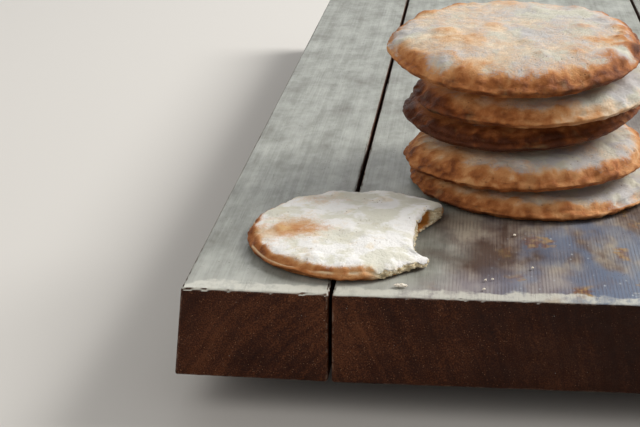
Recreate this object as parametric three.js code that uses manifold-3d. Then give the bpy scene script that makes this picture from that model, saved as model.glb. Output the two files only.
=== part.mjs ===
// Crackers on a wooden board. Millimetres, +Z up, the origin at the bottom centre of the whole
// object, +Y along the board away from its front end.
import * as THREE from 'three';
import { mergeVertices } from 'three/addons/utils/BufferGeometryUtils.js';
import Module from 'manifold-3d';

const wasm = await Module();
wasm.setup();

// ---- Driving dimensions ---------------------------------------------------------------------

const CLEARANCE = 0.3;            // left between two pieces that touch

const BOARD_LENGTH = 480;
const PLANK_THICKNESS = 30;
const PLANK_GAP = 1.8;
const LEFT_PLANK_WIDTH = 45.3;
const MIDDLE_PLANK_WIDTH = 130;
const RIGHT_PLANK_WIDTH = 48;
const LEFT_SIDE_LEAN = 3;         // the left side is this much wider at the bottom than at the top
const ARRIS = 1.2;                // worn edge all round a plank
const CORNER_RADIUS = 3;          // outer corners of the board in plan
const JOINT_CORNER_RADIUS = 2.2;  // plank corners beside a gap

const BATTEN_LENGTH = 214;
const BATTEN_WIDTH = 36;
const BATTEN_HEIGHT = 12;
const BATTEN_SETBACK = 62;        // from the board's end to the batten's outer side
const BATTEN_ARRIS = 1.5;

const SCREW_HEAD_RADIUS = 4;
const SCREW_HEAD_LIP = 0.4;       // straight side of the countersunk head
const SCREW_SHANK_RADIUS = 2;
const SCREW_LENGTH = 28;
const SCREW_TIP = 4;
const SCREW_SINK = 0.8;           // the head's face lies this far up inside the batten
const SCREW_ROW_OFFSET = 8;       // screws stand alternately this far in front of and behind the middle
const SCREW_SIDES = 14;
const RECESS_LENGTH = 4.4;
const RECESS_WIDTH = 1.1;
const RECESS_DEPTH = 1.6;

const CRACKER_SIDES = 44;
const BROKEN_CRACKER_SIDES = 88;  // finer, so that they follow the break
const SETTLING_STEP = 1.5;        // spacing of the places where a cracker is tried on those below

// ---- Levels and edges worked out from them --------------------------------------------------

const BOARD_WIDTH = LEFT_PLANK_WIDTH + PLANK_GAP + MIDDLE_PLANK_WIDTH + PLANK_GAP + RIGHT_PLANK_WIDTH;
const BOARD_LEFT = (LEFT_SIDE_LEAN - BOARD_WIDTH) / 2;
const BOARD_FRONT = -BOARD_LENGTH / 2;
const BOARD_BACK = BOARD_LENGTH / 2;
const PLANK_BOTTOM = BATTEN_HEIGHT + CLEARANCE;
const BOARD_TOP = PLANK_BOTTOM + PLANK_THICKNESS;
const BATTEN_MIDDLE = BOARD_BACK - BATTEN_SETBACK - BATTEN_WIDTH / 2;

// A plank's ends are not cut quite square: each row gives how far in from the board's ends its
// front left, front right, back right and back left corners lie.
const PLANKS = [
  { name: 'plank_left', left: 0, width: LEFT_PLANK_WIDTH, ends: [0, 0.2, 1.5, 0], lean: LEFT_SIDE_LEAN },
  {
    name: 'plank_middle',
    left: LEFT_PLANK_WIDTH + PLANK_GAP,
    width: MIDDLE_PLANK_WIDTH,
    ends: [0, 4.2, 0.8, 2.2],
    lean: 0,
  },
  {
    name: 'plank_right',
    left: BOARD_WIDTH - RIGHT_PLANK_WIDTH,
    width: RIGHT_PLANK_WIDTH,
    ends: [2.6, 3.4, 2.4, 0.6],
    lean: 0,
  },
];

// Crackers. x and y are the centre's place from the board's left and front edges. rim is the
// thickness at the edge, puff how much the top swells above it, belly the same for the underside.
// tilt is the rise at the +X and +Y edge, bowl the lift of the whole edge, saddle the lift of two
// opposite sides that lie in the direction saddleTurn (degrees). A blister is [x, y, spread,
// height] from the centre. phase moves the waves of the outline round.
const STACK = [
  {
    name: 'cracker_stack_1', x: 110, y: 113, radius: 46, rim: 5, puff: 1.8, belly: 0.4,
    tilt: [0, 0.2], bowl: 0, saddle: 0.3, saddleTurn: 20, phase: 0.4,
    blisters: [[-16, 8, 9, 0.8], [18, -14, 8, 0.8]],
  },
  {
    name: 'cracker_stack_2', x: 107, y: 114, radius: 44.5, rim: 5, puff: 5, belly: 0.6,
    tilt: [2.2, 0.6], bowl: 0.3, saddle: 0.4, saddleTurn: 70, phase: 1.7,
    blisters: [[10, 6, 10, 1.6], [-18, -6, 8, 1.2]],
  },
  {
    name: 'cracker_stack_3', x: 105, y: 124, radius: 44.5, rim: 5, puff: 3, belly: 1,
    tilt: [3.6, 1], bowl: 1.4, saddle: 1.6, saddleTurn: 0, phase: 2.9,
    blisters: [[0, -10, 10, 0.9], [16, 14, 8, 1]],
  },
  {
    name: 'cracker_stack_4', x: 109, y: 118, radius: 45, rim: 5, puff: 4, belly: 1,
    tilt: [3, 0.8], bowl: 0.4, saddle: 0.4, saddleTurn: 0, phase: 4.1,
    blisters: [[-12, 12, 9, 0.9], [20, -8, 9, 1]],
  },
  {
    name: 'cracker_stack_5', x: 101.5, y: 118, radius: 47, rim: 5.2, puff: 6.6, belly: 1.8,
    tilt: [0.4, 4.2], bowl: 3.4, saddle: 0.8, saddleTurn: 0, phase: 5.2,
    blisters: [[-22, -14, 11, 1.6], [6, -22, 9, 1.2], [14, 10, 12, 1]],
  },
];

// The bitten cracker keeps its round outline up to the break, which runs from its front side to
// its right back side. Each point of the break is [degrees, share of the radius].
const BITTEN = {
  name: 'cracker_bitten', x: 52, y: 45.5, radius: 37.8, rim: 4.8, puff: 1, belly: 0.2,
  tilt: [0.1, 0], bowl: 0, saddle: 0.1, saddleTurn: 0, phase: 0.9,
  blisters: [[-4, 8, 10, 0.6], [6, -12, 8, 0.4]],
  broken: [
    [-93, 1], [-79, 0.95], [-67, 0.88], [-54, 0.85], [-43, 0.84], [-38.5, 0.82], [-35, 0.61], [-25, 0.52],
    [-13, 0.48], [2, 0.475], [18, 0.505], [30, 0.63], [38, 0.85], [44, 1],
  ],
};

// Loose crumbs on the board: place from the board's left and front edges, length, width, height
// and turn in degrees.
const CRUMBS = [
  { name: 'crumb_long', x: 67.6, y: 7.9, size: [4.6, 1.5, 1.1], turn: -14 },
  { name: 'crumb_round', x: 108, y: 26.9, size: [1.5, 1.3, 1.0], turn: 20 },
  { name: 'crumb_pair_left', x: 93.2, y: 15.5, size: [1.5, 1.1, 0.9], turn: 40 },
  { name: 'crumb_pair_right', x: 95.4, y: 16.5, size: [1.2, 1.0, 0.8], turn: 5 },
  { name: 'crumb_edge', x: 92.7, y: 8.4, size: [1.6, 1.2, 0.8], turn: -30 },
  { name: 'crumb_by_stack', x: 102.8, y: 55.2, size: [1.8, 1.3, 1.1], turn: 75 },
];

// ---- Materials ------------------------------------------------------------------------------

function material(color, roughness, metalness = 0) {
  return new THREE.MeshStandardMaterial({ color, roughness, metalness });
}

const oldWood = material(0x8d8a84, 0.55);
const battenWood = material(0x4a3226, 0.75);
const screwSteel = material(0x8a8780, 0.45, 0.9);
const bakedCracker = material(0xc9a982, 0.85);
const bittenCracker = material(0xe2d8c8, 0.9);
const crumbCream = material(0xeee6d6, 0.9);

// ---- Solids ---------------------------------------------------------------------------------

function toSolid(geometry) {
  const bare = geometry.clone();
  bare.deleteAttribute('normal');
  bare.deleteAttribute('uv');
  const merged = mergeVertices(bare, 1e-4);
  return new wasm.Manifold(new wasm.Mesh({
    numProp: 3,
    vertProperties: merged.attributes.position.array,
    triVerts: new Uint32Array(merged.index.array),
  }));
}

function toGeometry(solid) {
  const mesh = solid.getMesh();
  const positions = new Float32Array(mesh.numVert * 3);
  for (let i = 0; i < mesh.numVert; i += 1) {
    for (let axis = 0; axis < 3; axis += 1) {
      positions[i * 3 + axis] = mesh.vertProperties[i * mesh.numProp + axis];
    }
  }
  const geometry = new THREE.BufferGeometry();
  geometry.setAttribute('position', new THREE.BufferAttribute(positions, 3));
  geometry.setIndex(new THREE.BufferAttribute(mesh.triVerts, 1));
  return geometry;
}

function subtractAll(geometry, cutters) {
  let solid = toSolid(geometry);
  for (const cutter of cutters) solid = solid.subtract(toSolid(cutter));
  return toGeometry(solid);
}

function moveVertices(geometry, change) {
  const position = geometry.attributes.position;
  const point = new THREE.Vector3();
  for (let i = 0; i < position.count; i += 1) {
    point.fromBufferAttribute(position, i);
    change(point);
    position.setXYZ(i, point.x, point.y, point.z);
  }
  return geometry;
}

// A lathe turned round the vertical axis, from [radius, height] points listed from the bottom up.
function turned(points, sides) {
  const profile = points.map(([radius, height]) => new THREE.Vector2(radius, height));
  return new THREE.LatheGeometry(profile, sides).rotateX(Math.PI / 2);
}

// A plan outline through the given corners, each rounded by its own radius.
function roundedOutline(corners, radii) {
  const shape = new THREE.Shape();
  corners.forEach((corner, i) => {
    const before = corners[(i + corners.length - 1) % corners.length];
    const after = corners[(i + 1) % corners.length];
    const start = corner.clone().add(before.clone().sub(corner).setLength(radii[i]));
    const end = corner.clone().add(after.clone().sub(corner).setLength(radii[i]));
    if (i === 0) shape.moveTo(start.x, start.y);
    else shape.lineTo(start.x, start.y);
    shape.quadraticCurveTo(corner.x, corner.y, end.x, end.y);
  });
  shape.closePath();
  return shape;
}

// A flat piece of the given outline from the height bottom to bottom + thickness, with worn edges.
function slab(outline, bottom, thickness, arris) {
  const geometry = new THREE.ExtrudeGeometry(outline, {
    depth: thickness - 2 * arris,
    bevelThickness: arris,
    bevelSize: arris,
    bevelOffset: -arris,
    bevelSegments: 2,
    curveSegments: 3,
  });
  return geometry.translate(0, 0, bottom + arris);
}

// ---- Screws ---------------------------------------------------------------------------------

// Half section of a screw standing on its head, or of its hole where grow is more than 0. The
// hole runs out through the batten's underside.
function screwSection(grow) {
  const face = grow > 0 ? -1 : SCREW_SINK;
  const lip = SCREW_SINK + SCREW_HEAD_LIP;
  const neck = lip + SCREW_HEAD_RADIUS - SCREW_SHANK_RADIUS;
  const end = SCREW_SINK + SCREW_LENGTH + grow;
  return [
    [0, face],
    [SCREW_HEAD_RADIUS + grow, face],
    [SCREW_HEAD_RADIUS + grow, lip],
    [SCREW_SHANK_RADIUS + grow, neck],
    [SCREW_SHANK_RADIUS + grow, end - SCREW_TIP],
    [0, end],
  ];
}

function screwGeometry() {
  const slot = new THREE.BoxGeometry(RECESS_LENGTH, RECESS_WIDTH, 2 * RECESS_DEPTH);
  slot.translate(0, 0, SCREW_SINK);
  return subtractAll(turned(screwSection(0), SCREW_SIDES), [slot, slot.clone().rotateZ(Math.PI / 2)]);
}

function screwHole(place) {
  return turned(screwSection(CLEARANCE), SCREW_SIDES).translate(place.x, place.y, 0);
}

// Two screws hold each plank to each batten, one in front of the batten's middle line and one
// behind it.
function screwPlaces(plank, battenY) {
  const middle = BOARD_LEFT + plank.left + plank.width / 2;
  const spread = plank.width / 5;
  return [
    new THREE.Vector2(middle - spread, battenY - SCREW_ROW_OFFSET),
    new THREE.Vector2(middle + spread, battenY + SCREW_ROW_OFFSET),
  ];
}

// ---- Board ----------------------------------------------------------------------------------

function plankGeometry(plank, holes) {
  const left = BOARD_LEFT + plank.left;
  const right = left + plank.width;
  const [frontLeft, frontRight, backRight, backLeft] = plank.ends;
  const corners = [
    new THREE.Vector2(left, BOARD_FRONT + frontLeft),
    new THREE.Vector2(right, BOARD_FRONT + frontRight),
    new THREE.Vector2(right, BOARD_BACK - backRight),
    new THREE.Vector2(left, BOARD_BACK - backLeft),
  ];
  const leftRadius = plank.left === 0 ? CORNER_RADIUS : JOINT_CORNER_RADIUS;
  const rightRadius = right > BOARD_LEFT + BOARD_WIDTH - 1 ? CORNER_RADIUS : JOINT_CORNER_RADIUS;
  const outline = roundedOutline(corners, [leftRadius, rightRadius, rightRadius, leftRadius]);
  const geometry = slab(outline, PLANK_BOTTOM, PLANK_THICKNESS, ARRIS);
  moveVertices(geometry, (point) => {
    const toLeft = (right - point.x) / plank.width;
    const toBottom = (BOARD_TOP - point.z) / PLANK_THICKNESS;
    point.x -= plank.lean * toLeft * toBottom;
  });
  return subtractAll(geometry, holes);
}

function battenGeometry(middleY, holes) {
  const half = new THREE.Vector2(BATTEN_LENGTH / 2, BATTEN_WIDTH / 2);
  const corners = [[-1, -1], [1, -1], [1, 1], [-1, 1]].map(
    ([sideX, sideY]) => new THREE.Vector2(sideX * half.x, middleY + sideY * half.y),
  );
  const outline = roundedOutline(corners, corners.map(() => 2 * BATTEN_ARRIS));
  return subtractAll(slab(outline, 0, BATTEN_HEIGHT, BATTEN_ARRIS), holes);
}

// ---- Crackers -------------------------------------------------------------------------------

// Half section of a cracker of unit radius: [share of the radius, share of the thickness above or
// below the middle].
const CRACKER_SECTION = [
  [0, -1], [0.3, -1], [0.58, -1], [0.8, -1], [0.95, -1], [0.99, -0.8], [1, 0],
  [0.985, 0.62], [0.93, 0.96], [0.8, 1], [0.58, 1], [0.3, 1], [0, 1],
];
const TOP_SECTION = CRACKER_SECTION.filter(([, share]) => share >= 0).reverse();
const UNDER_SECTION = CRACKER_SECTION.filter(([, share]) => share <= 0);

function interpolate(rows, at) {
  const next = rows.findIndex(([key]) => key >= at);
  if (next < 0) return rows[rows.length - 1][1];
  if (next === 0) return rows[0][1];
  const [fromKey, from] = rows[next - 1];
  const [toKey, to] = rows[next];
  return from + ((to - from) * (at - fromKey)) / (toKey - fromKey);
}

function brokenShare(cracker, angle) {
  const degrees = THREE.MathUtils.radToDeg(angle);
  const rows = cracker.broken;
  const outside = !rows || degrees < rows[0][0] || degrees > rows[rows.length - 1][0];
  return outside ? 1 : interpolate(rows, degrees);
}

function edgeRadius(cracker, angle) {
  const waves = 0.008 * Math.sin(2 * angle + cracker.phase) + 0.006 * Math.sin(5 * angle + 2 * cracker.phase)
    + 0.004 * Math.sin(11 * angle + 3 * cracker.phase);
  return cracker.radius * (1 + waves) * brokenShare(cracker, angle);
}

// Height of the middle of the cracker's thickness at a place from its centre.
function warp(cracker, x, y) {
  const reach = Math.hypot(x, y) / cracker.radius;
  const turn = 2 * (Math.atan2(y, x) - THREE.MathUtils.degToRad(cracker.saddleTurn));
  const slope = (cracker.tilt[0] * x + cracker.tilt[1] * y) / cracker.radius;
  return slope + reach ** 2 * (cracker.bowl + cracker.saddle * Math.cos(turn));
}

// Height of the skin over or under a place from the centre, where edge is the place's share of the
// way to the outline and side is between -1 (underside) and 1 (top).
function skin(cracker, x, y, edge, side) {
  const reach = Math.hypot(x, y) / cracker.radius;
  const swell = side > 0 ? cracker.puff * (1 - reach ** 4) : cracker.belly * (1 - reach ** 2);
  let blister = 0;
  if (side > 0) {
    for (const [bx, by, spread, height] of cracker.blisters) {
      const away = Math.hypot(x - bx, y - by) / spread;
      blister += height * Math.exp(-(away ** 2)) * (1 - edge ** 4);
    }
  }
  return warp(cracker, x, y) + side * (cracker.rim / 2 + swell + blister);
}

function crackerGeometry(cracker) {
  const geometry = turned(CRACKER_SECTION, cracker.broken ? BROKEN_CRACKER_SIDES : CRACKER_SIDES);
  return moveVertices(geometry, (point) => {
    const edge = Math.hypot(point.x, point.y);
    const angle = Math.atan2(point.y, point.x);
    const radius = edge * edgeRadius(cracker, angle);
    const x = radius * Math.cos(angle);
    const y = radius * Math.sin(angle);
    point.set(x, y, skin(cracker, x, y, edge, point.z));
  });
}

// Height of a placed cracker's skin at a place on the board, or undefined outside its outline.
function skinAt(cracker, x, y, side) {
  const dx = x - cracker.x;
  const dy = y - cracker.y;
  const edge = Math.hypot(dx, dy) / edgeRadius(cracker, Math.atan2(dy, dx));
  if (edge > 1) return undefined;
  return skin(cracker, dx, dy, edge, interpolate(side > 0 ? TOP_SECTION : UNDER_SECTION, edge));
}

// The height at which the cracker comes to rest on the board and on the crackers below it.
function restingHeight(cracker, below) {
  let height = -Infinity;
  for (let x = cracker.x - cracker.radius; x <= cracker.x + cracker.radius; x += SETTLING_STEP) {
    for (let y = cracker.y - cracker.radius; y <= cracker.y + cracker.radius; y += SETTLING_STEP) {
      const underside = skinAt(cracker, x, y, -1);
      if (underside === undefined) continue;
      let ground = 0;
      for (const other of below) {
        const top = skinAt(other, x, y, 1);
        if (top !== undefined) ground = Math.max(ground, other.height + top);
      }
      height = Math.max(height, ground - underside);
    }
  }
  return height + CLEARANCE;
}

// ---- Crumbs ---------------------------------------------------------------------------------

function crumbGeometry(crumb, index) {
  const geometry = new THREE.IcosahedronGeometry(0.5, 1);
  moveVertices(geometry, (point) => {
    const lump = 1 + 0.18 * Math.sin(9 * point.x + 7 * point.y + index) + 0.1 * Math.sin(11 * point.z - index);
    point.multiplyScalar(lump);
    point.set(point.x * crumb.size[0], point.y * crumb.size[1], point.z * crumb.size[2]);
  });
  geometry.rotateZ(THREE.MathUtils.degToRad(crumb.turn));
  geometry.computeBoundingBox();
  return geometry.translate(0, 0, CLEARANCE - geometry.boundingBox.min.z);
}

// ---- Assembly -------------------------------------------------------------------------------

const object = new THREE.Group();

function place(parent, name, geometry, finish, at = new THREE.Vector3()) {
  const mesh = new THREE.Mesh(geometry, finish);
  mesh.name = name;
  mesh.position.copy(at);
  parent.add(mesh);
  return mesh;
}

const battens = [
  { name: 'batten_front', screws: 'screw_front', y: -BATTEN_MIDDLE },
  { name: 'batten_back', screws: 'screw_back', y: BATTEN_MIDDLE },
];

const board = new THREE.Group();
object.add(board);

for (const plank of PLANKS) {
  const holes = battens.flatMap((batten) => screwPlaces(plank, batten.y)).map(screwHole);
  place(board, plank.name, plankGeometry(plank, holes), oldWood);
}

for (const batten of battens) {
  const places = PLANKS.flatMap((plank) => screwPlaces(plank, batten.y));
  place(board, batten.name, battenGeometry(batten.y, places.map(screwHole)), battenWood);
  places.forEach((spot, i) => {
    place(board, `${batten.screws}_${i + 1}`, screwGeometry(), screwSteel, new THREE.Vector3(spot.x, spot.y, 0));
  });
}

// What lies on the board is placed from the board's left and front edges at the height of its top.
const served = new THREE.Group();
served.position.set(BOARD_LEFT, BOARD_FRONT, BOARD_TOP);
object.add(served);

STACK.forEach((cracker, level) => {
  cracker.height = restingHeight(cracker, STACK.slice(0, level));
  const at = new THREE.Vector3(cracker.x, cracker.y, cracker.height);
  place(served, cracker.name, crackerGeometry(cracker), bakedCracker, at);
});

const bittenAt = new THREE.Vector3(BITTEN.x, BITTEN.y, restingHeight(BITTEN, []));
place(served, BITTEN.name, crackerGeometry(BITTEN), bittenCracker, bittenAt);

CRUMBS.forEach((crumb, index) => {
  const at = new THREE.Vector3(crumb.x, crumb.y, 0);
  place(served, crumb.name, crumbGeometry(crumb, index), crumbCream, at);
});

export default object;
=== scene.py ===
import math

import bpy
import numpy as np
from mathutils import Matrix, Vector, noise
from mathutils.bvhtree import BVHTree


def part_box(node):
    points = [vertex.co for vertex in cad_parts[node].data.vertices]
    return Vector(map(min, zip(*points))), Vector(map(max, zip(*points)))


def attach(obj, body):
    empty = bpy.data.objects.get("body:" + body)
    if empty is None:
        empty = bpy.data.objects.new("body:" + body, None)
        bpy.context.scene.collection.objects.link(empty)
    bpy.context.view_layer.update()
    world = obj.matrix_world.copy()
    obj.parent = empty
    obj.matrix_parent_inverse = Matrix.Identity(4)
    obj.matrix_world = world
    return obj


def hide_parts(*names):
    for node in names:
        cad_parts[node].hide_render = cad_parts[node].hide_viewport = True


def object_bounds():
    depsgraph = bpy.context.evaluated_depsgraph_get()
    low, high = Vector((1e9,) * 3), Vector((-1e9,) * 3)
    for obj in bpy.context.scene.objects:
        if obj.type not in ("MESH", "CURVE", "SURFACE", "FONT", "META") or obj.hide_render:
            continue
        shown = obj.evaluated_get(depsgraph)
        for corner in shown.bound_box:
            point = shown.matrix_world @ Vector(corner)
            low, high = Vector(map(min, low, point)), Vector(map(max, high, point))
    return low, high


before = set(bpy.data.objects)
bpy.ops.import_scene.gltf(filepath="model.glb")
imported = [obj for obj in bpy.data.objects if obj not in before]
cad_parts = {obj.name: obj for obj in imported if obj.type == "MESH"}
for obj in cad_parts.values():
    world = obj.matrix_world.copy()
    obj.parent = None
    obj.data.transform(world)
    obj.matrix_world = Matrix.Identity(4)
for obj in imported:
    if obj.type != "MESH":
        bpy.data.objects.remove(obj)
cad_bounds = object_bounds()

MM = 0.001
NEARLY = 0.999             # share of a whole that counts as the whole

# ---- Camera, floor and light ---------------------------------

CAMERA_LENS = 78.75
SENSOR_WIDTH = 36
CLIP_START = 0.01
CAMERA_DOWN = math.radians(20.5)
CAMERA_LEFT = math.radians(6.5)
CAMERA_FROM_CORNER = Vector((87.3, -388.27, 172.41)) * MM   # from the board's front left top corner
SIDE_LEAN = 3 * MM         # how far the left plank's side leans out between its top and its foot

FLOOR_SIZE = 6
FLOOR_COLOUR = (0.62, 0.60, 0.57, 1)
SKY_COLOUR = (0.80, 0.79, 0.775, 1)
SKY_STRENGTH = 0.45
LIGHTS_AIM = (0, -0.12, 0.05)
# Area lights: name, place and size in metres, power in watts, colour.
LIGHTS = (
    ("window", (1.15, 0.5, 1.05), (0.8, 0.8), 35, (1, 0.985, 0.955)),
    ("back_panel", (-0.25, 1.6, 0.8), (1.3, 0.6), 4.5, (0.95, 0.98, 1)),
    ("fill", (-0.9, -0.9, 0.9), (1.2, 1.2), 6.5, (1, 0.96, 0.91)),
)


def board_corner():
    """The front left corner of the board's top."""
    low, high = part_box("plank_left")
    return Vector((low.x + SIDE_LEAN, low.y, high.z))


def add_camera():
    camera = bpy.data.objects.new("camera", bpy.data.cameras.new("camera"))
    camera.data.lens = CAMERA_LENS
    camera.data.sensor_width = SENSOR_WIDTH
    camera.data.clip_start = CLIP_START
    camera.location = board_corner() + CAMERA_FROM_CORNER
    camera.rotation_euler = (math.pi / 2 - CAMERA_DOWN, 0, CAMERA_LEFT)
    bpy.context.scene.collection.objects.link(camera)
    bpy.context.scene.camera = camera


def add_area_light(name, place, size, power, colour):
    lamp = bpy.data.lights.new(name, "AREA")
    lamp.shape = "RECTANGLE"
    lamp.size, lamp.size_y = size
    lamp.energy = power
    lamp.color = colour
    light = bpy.data.objects.new(name, lamp)
    light.location = place
    light.rotation_euler = (Vector(LIGHTS_AIM) - Vector(place)).to_track_quat("-Z", "Y").to_euler()
    bpy.context.scene.collection.objects.link(light)


def add_floor():
    clear_selection()
    bpy.ops.mesh.primitive_plane_add(size=FLOOR_SIZE)
    floor = bpy.context.object
    floor.name = "floor"
    recipe = Recipe("pale_floor")
    floor.data.materials.append(recipe.finish({"Base Color": FLOOR_COLOUR, "Roughness": 0.8}))


def add_sky():
    world = bpy.data.worlds.new("studio")
    bpy.context.scene.world = world
    world.use_nodes = True
    background = world.node_tree.nodes["Background"]
    background.inputs["Color"].default_value = SKY_COLOUR
    background.inputs["Strength"].default_value = SKY_STRENGTH


def add_studio():
    add_floor()
    for light in LIGHTS:
        add_area_light(*light)
    add_sky()
    bpy.context.scene.view_settings.view_transform = "Standard"


# ---- Shader arithmetic ---------------------------------------

class Socket:
    """A node's output that takes part in arithmetic."""

    def __init__(self, recipe, socket):
        self.recipe = recipe
        self.socket = socket

    def math(self, operation, *others):
        inputs = dict(enumerate([self, *others]))
        return self.recipe.node("ShaderNodeMath", {"operation": operation}, inputs)

    def __add__(self, other):
        return self.math("ADD", other)

    def __radd__(self, other):
        return self + other

    def __sub__(self, other):
        return self.math("SUBTRACT", other)

    def __rsub__(self, other):
        return (self * -1) + other

    def __mul__(self, other):
        return self.math("MULTIPLY", other)

    def __pow__(self, other):
        return self.math("POWER", other)

    def at_least(self, other):
        return self.math("MAXIMUM", other)

    def rise(self, start, end):
        """0 below start, 1 above end, smooth between them; start may be above end."""
        inputs = {"Value": self, "From Min": start, "From Max": end}
        return self.recipe.node("ShaderNodeMapRange", {"interpolation_type": "SMOOTHSTEP"}, inputs)


class Recipe:
    """A material's node tree."""

    def __init__(self, name):
        self.material = bpy.data.materials.new(name)
        self.material.use_nodes = True
        self.tree = self.material.node_tree
        self.tree.nodes.clear()

    def node(self, kind, settings=None, inputs=None, output=0):
        """Adds a node with its settings, then its sockets' values or links; gives one output."""
        node = self.tree.nodes.new(kind)
        for key, value in (settings or {}).items():
            if key == "stops":
                self.set_stops(node.color_ramp, value)
            else:
                setattr(node, key, value)
        for key, value in (inputs or {}).items():
            if isinstance(value, Socket):
                self.tree.links.new(value.socket, node.inputs[key])
            else:
                node.inputs[key].default_value = value
        return Socket(self, node.outputs[output])

    @staticmethod
    def set_stops(ramp, stops):
        while len(ramp.elements) > 1:
            ramp.elements.remove(ramp.elements[-1])
        ramp.elements[0].position = stops[0][0]
        ramp.elements[0].color = (*stops[0][1], 1)
        for position, colour in stops[1:]:
            ramp.elements.new(position).color = (*colour, 1)

    def place_mm(self):
        """The surface point in millimetres."""
        place = self.node("ShaderNodeTexCoord", output="Object")
        return self.node("ShaderNodeVectorMath", {"operation": "SCALE"}, {0: place, "Scale": 1 / MM})

    def axis(self, vector, name):
        return self.node("ShaderNodeSeparateXYZ", inputs={0: vector}, output=name)

    def stretched(self, vector, scale):
        inputs = {"Vector": vector, "Scale": scale}
        return self.node("ShaderNodeMapping", {"vector_type": "POINT"}, inputs)

    def noise(self, vector, scale, detail=2.0, roughness=0.5):
        inputs = {"Vector": vector, "Scale": scale, "Detail": detail, "Roughness": roughness}
        return self.node("ShaderNodeTexNoise", inputs=inputs)

    def patches(self, vector, scale, start, end, detail=2.0, roughness=0.5):
        """1 in scattered patches and 0 between them, where noise rises from start to end."""
        return self.noise(vector, scale, detail, roughness).rise(start, end)

    def wander(self, vector, scale, width, detail=2.0, roughness=0.5):
        """Noise about 0, to make a straight limit wander over a strip of the given width."""
        return self.noise(vector, scale, detail, roughness) * width - width / 2

    def cells(self, vector, scale):
        """Distance to the nearest of scattered points."""
        return self.node("ShaderNodeTexVoronoi", inputs={"Vector": vector, "Scale": scale})

    def attribute(self, name):
        return self.node("ShaderNodeAttribute", {"attribute_name": name}, output="Fac")

    def ramp(self, value, stops):
        return self.node("ShaderNodeValToRGB", {"stops": stops}, {0: value})

    def mix(self, share, first, second):
        """Colour first where share is 0, second where it is 1."""
        inputs = {0: share, 6: first if isinstance(first, Socket) else (*first, 1),
                  7: second if isinstance(second, Socket) else (*second, 1)}
        return self.node("ShaderNodeMix", {"data_type": "RGBA"}, inputs, output=2)

    def bump(self, height, distance_mm, strength=1.0):
        inputs = {"Height": height, "Distance": distance_mm * MM, "Strength": strength}
        return self.node("ShaderNodeBump", inputs=inputs)

    def finish(self, inputs):
        shader = self.node("ShaderNodeBsdfPrincipled", inputs=inputs)
        output = self.tree.nodes.new("ShaderNodeOutputMaterial")
        self.tree.links.new(shader.socket, output.inputs["Surface"])
        return self.material


# ---- Modelling helpers ---------------------------------------

VERTEX_MODE = (True, False, False)
EDGE_MODE = (False, True, False)
FACE_MODE = (False, False, True)

# How the CAD's triangles are joined before they are smoothed.
MERGE_DISTANCE = 0.01 * MM
QUAD_BEND = math.radians(70)
QUAD_SHAPE = math.radians(120)


def clear_selection():
    bpy.ops.object.select_all(action="DESELECT")


def activate(piece):
    clear_selection()
    piece.select_set(True)
    bpy.context.view_layer.objects.active = piece


def start_edit(piece, mode):
    activate(piece)
    bpy.context.tool_settings.mesh_select_mode = mode
    bpy.ops.object.mode_set(mode="EDIT")


def end_edit():
    bpy.ops.object.mode_set(mode="OBJECT")


def pick(piece, mode, test):
    """Goes into edit mode with only the faces or edges that pass the test selected."""
    mesh = piece.data
    for kind in (mesh.vertices, mesh.edges, mesh.polygons):
        kind.foreach_set("select", [False] * len(kind))
    chosen = mesh.polygons if mode == FACE_MODE else mesh.edges
    chosen.foreach_set("select", [bool(test(item)) for item in chosen])
    start_edit(piece, mode)


def bake_place(piece):
    activate(piece)
    bpy.ops.object.transform_apply(location=True, rotation=True, scale=True)


def apply_modifier(piece, kind, **settings):
    activate(piece)
    modifier = piece.modifiers.new(kind.lower(), kind)
    for key, value in settings.items():
        setattr(modifier, key, value)
    bpy.ops.object.modifier_apply(modifier=modifier.name)


def smooth_shading(piece, angle=None):
    activate(piece)
    if angle is None:
        bpy.ops.object.shade_smooth()
    else:
        bpy.ops.object.shade_smooth_by_angle(angle=math.radians(angle))


def points_of(piece):
    points = np.empty(len(piece.data.vertices) * 3)
    piece.data.vertices.foreach_get("co", points)
    return points.reshape(-1, 3)


def set_points(piece, points):
    piece.data.vertices.foreach_set("co", points.ravel())
    piece.data.update()


def normals_of(piece):
    normals = np.empty(len(piece.data.vertices) * 3)
    piece.data.vertices.foreach_get("normal", normals)
    return normals.reshape(-1, 3)


def set_attribute(piece, name, values):
    layer = piece.data.attributes.new(name, "FLOAT", "POINT")
    layer.data.foreach_set("value", values)


def rise(values, start, end):
    share = np.clip((values - start) / (end - start), 0, 1)
    return share * share * (3 - 2 * share)


def lumps(points, size, octaves, seed):
    """Smooth noise between about -1 and 1 at each point, with features of the given size."""
    shift = Vector((seed, 1.7 * seed, -seed))
    smoothness, finer = 0.9, 2.1
    return np.array([noise.fractal(Vector(p) / size + shift, smoothness, finer, octaves) for p in points])


def cad_surface(name, levels=0):
    """A merged copy of a CAD node, smoothed where levels is above 0, for measuring."""
    copy = bpy.data.objects.new(name + "_copy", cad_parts[name].data.copy())
    bpy.context.scene.collection.objects.link(copy)
    start_edit(copy, VERTEX_MODE)
    bpy.ops.mesh.select_all(action="SELECT")
    bpy.ops.mesh.remove_doubles(threshold=MERGE_DISTANCE)
    bpy.ops.mesh.tris_convert_to_quads(face_threshold=QUAD_BEND, shape_threshold=QUAD_SHAPE)
    end_edit()
    if levels:
        apply_modifier(copy, "SUBSURF", levels=levels, render_levels=levels)
    mesh = copy.data
    tree = BVHTree.FromPolygons([v.co.copy() for v in mesh.vertices], [p.vertices[:] for p in mesh.polygons])
    bpy.data.objects.remove(copy)
    return tree


def hit(tree, start, direction):
    """The point where a ray first meets the surface, or None."""
    return tree.ray_cast(Vector(start), Vector(direction))[0]


# ---- Planks --------------------------------------------------

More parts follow.
